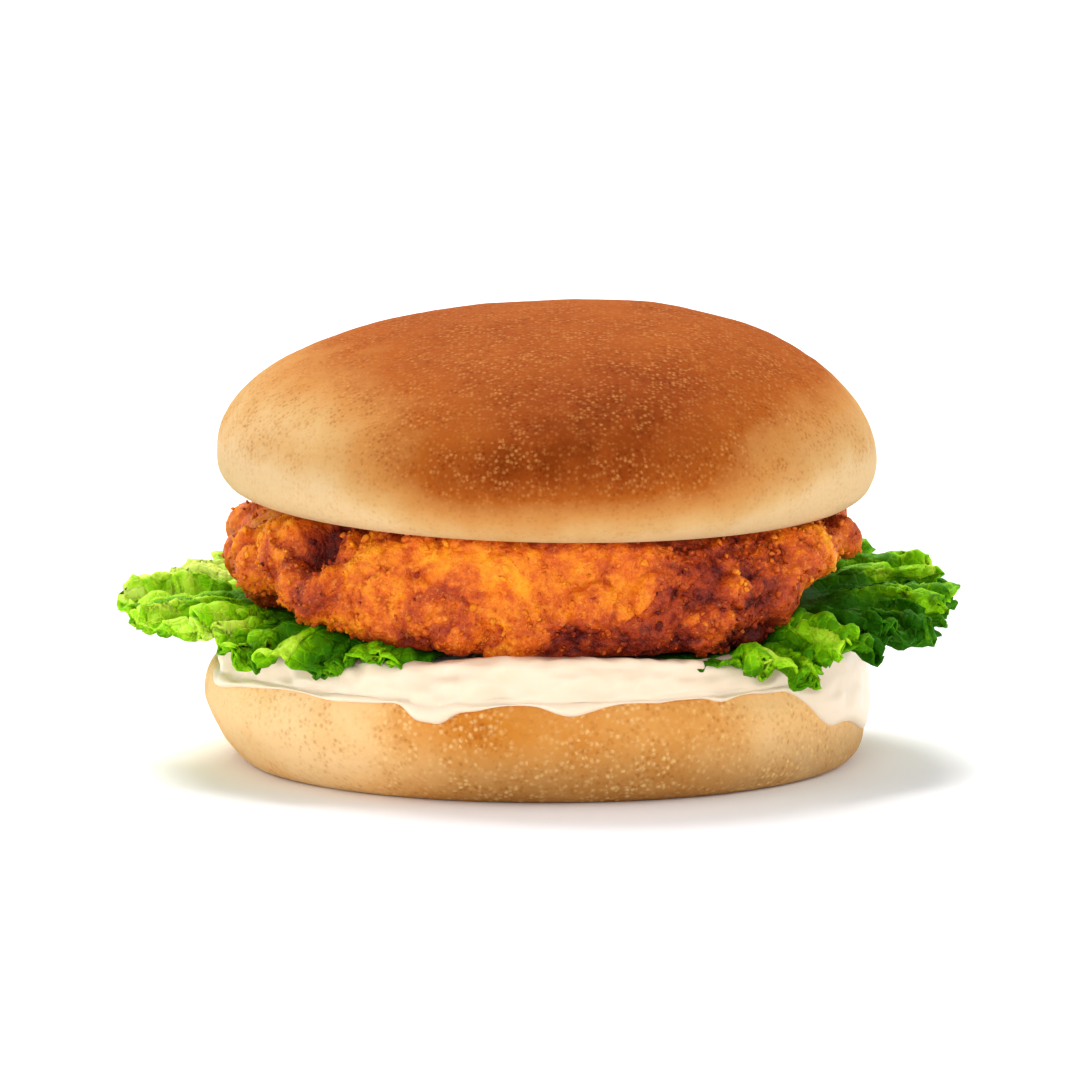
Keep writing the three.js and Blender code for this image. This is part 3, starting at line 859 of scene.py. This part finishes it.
form, form_faces = crumb_form()
odds = (on_side * (0.15 + crag**2) * (level > 0.03) * (level < 0.98)).ravel()
chosen = chance.choice(odds.size, CRUMBS, p=odds / odds.sum())
size = 0.12 + 0.44 * chance.random(CRUMBS) ** 6
stretch = size[:, None] * (0.5 + 1.0 * chance.random((CRUMBS, 3)))
shape = form * (1 + 0.35 * chance.normal(size=(CRUMBS, len(form), 1))).clip(0.45, 1.6) * stretch[:, None, :]
shape = np.einsum("cij,cpj->cpi", turned_at_random(CRUMBS), shape)
spot = grid.reshape(-1, 3)[chosen] + 0.3 * size[:, None] * surface_normals(grid).reshape(-1, 3)[chosen]
faces = (form_faces[None] + len(form) * np.arange(CRUMBS)[:, None, None]).reshape(-1, 3)
tone = np.repeat(browned.ravel()[chosen] - 0.05 + 0.12 * chance.normal(size=CRUMBS), len(form))
crumb_piece = new_piece("breading_crumbs", spot[:, None] + shape, faces.tolist(), breading, browned=tone)
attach(crumb_piece, "root")

# ---- Crown of the bun ----------------------------------------------------------------------------------
# The top half of the roll: a high soft dome with a thin brown crust, palest round its lower rim, where
# the neighbouring rolls kept the oven's heat off it.

CROWN_DOME, CROWN_TUCK, CROWN_LEAN = 22.2, 5.8, 6.4
CROWN_STEPS, TUCK_RINGS, DOME_RINGS = 480, 30, 86
crown_cut = 0.9 * crown_radius
turn = np.linspace(-math.pi, math.pi, CROWN_STEPS, endpoint=False)
bend = np.linspace(-math.pi / 2, 0, TUCK_RINGS)[:, None]
bulge = crown_cut + (crown_radius - crown_cut) * np.cos(bend)
tuck = turned_grid(bulge, CROWN_TUCK * (1 + np.sin(bend)), turn)
bend = np.linspace(0, math.pi / 2, DOME_RINGS)[1:-1, None]
dome = turned_grid(crown_radius * np.cos(bend) ** 0.92, CROWN_TUCK + CROWN_DOME * np.sin(bend) ** 0.95, turn)
inward = np.linspace(0.01, 0.99, FLAT_RINGS)[:, None]
cut_part = turned_grid(inward * crown_cut, 0 * inward, turn)
grid = np.vstack([cut_part, tuck, dome])
on_crust = ramp(grid[..., 2], 0.0, 2.5)
swell = 0.4 * clouds(grid, 24, 103, 2) + 0.08 * clouds(grid, 4, 105, 2)
grid = grid + surface_normals(grid) * (swell * on_crust)[..., None]
rise = grid[..., 2] / (CROWN_TUCK + CROWN_DOME)
grid[..., 0] += CROWN_LEAN * rise**1.2 * (1 - (grid[..., 0] / crown_radius) ** 2)
# Baked darkest in two broad patches at the front and the back, and palest where its sides curve under.
# Both are partly the crust's own colour and partly painted light: painted shade in the front patch, copied
# at the back, and painted rim light on the pale sides.
height = grid[..., 2]
baked = 0.5 * ramp(height, -0.8, 11.5) + 0.2 * ramp(height, 14, 24)
sideways = np.abs(grid[..., 0] - 1) / crown_radius
shaded_below = np.where(grid[..., 0] < 0, ramp(-height, -31, -12), ramp(-height, -23, -9))
paler = np.where(grid[..., 0] < 0, ramp(sideways, 0.25, 0.85), ramp(sideways, 0.45, 0.95))
# Paler low on the sides: partly the crust's colour, partly painted rim light.
baked = baked - 0.38 * paler * shaded_below
# The dark patches: partly browning, partly painted shade of the dim front light.
for way in (-1, 1):
    above = height - 12.8 - 0.2 * grid[..., 0]
    tall = np.where(above < 0, 9, 7.5)
    patch = hump(grid[..., 0], 3, 21) * hump(grid[..., 1], way * 44, 30) * hump(above, 0, tall)
    baked = baked + 0.47 * patch * (1 + 0.35 * clouds(grid * (1, 1, 0.5), 5, 109, 2))
baked = baked + 0.06 * clouds(grid, 14, 107, 2)
dusted = 0.35 + 0.65 * ramp(height, 4, 12)
crown_crust = bread_crust(
    "crown_crust",
    [
        (0.0, (211, 179, 132)),
        (0.15, (201, 158, 100)),
        (0.35, (190, 130, 68)),
        (0.6, (162, 83, 25)),
        (0.85, (140, 62, 15)),
        (1.0, (122, 51, 7)),
    ],
    blotches=0.04,
    flour_shade=(208, 142, 76),
    flour_share=0.62,
    pit_share=0.7,
    grain_size=0.0006,
    relief=0.6,
)
tilted = np.array(Matrix.Rotation(TILT, 3, "Y") @ Matrix.Rotation(NOD, 3, "X"))
grid = grid @ tilted.T + (crown_middle, 0, crown_foot)
crown = round_piece("crown", grid, crown_crust, baked=baked, dusted=dusted)
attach(crown, "root")
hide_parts("bun_crown")
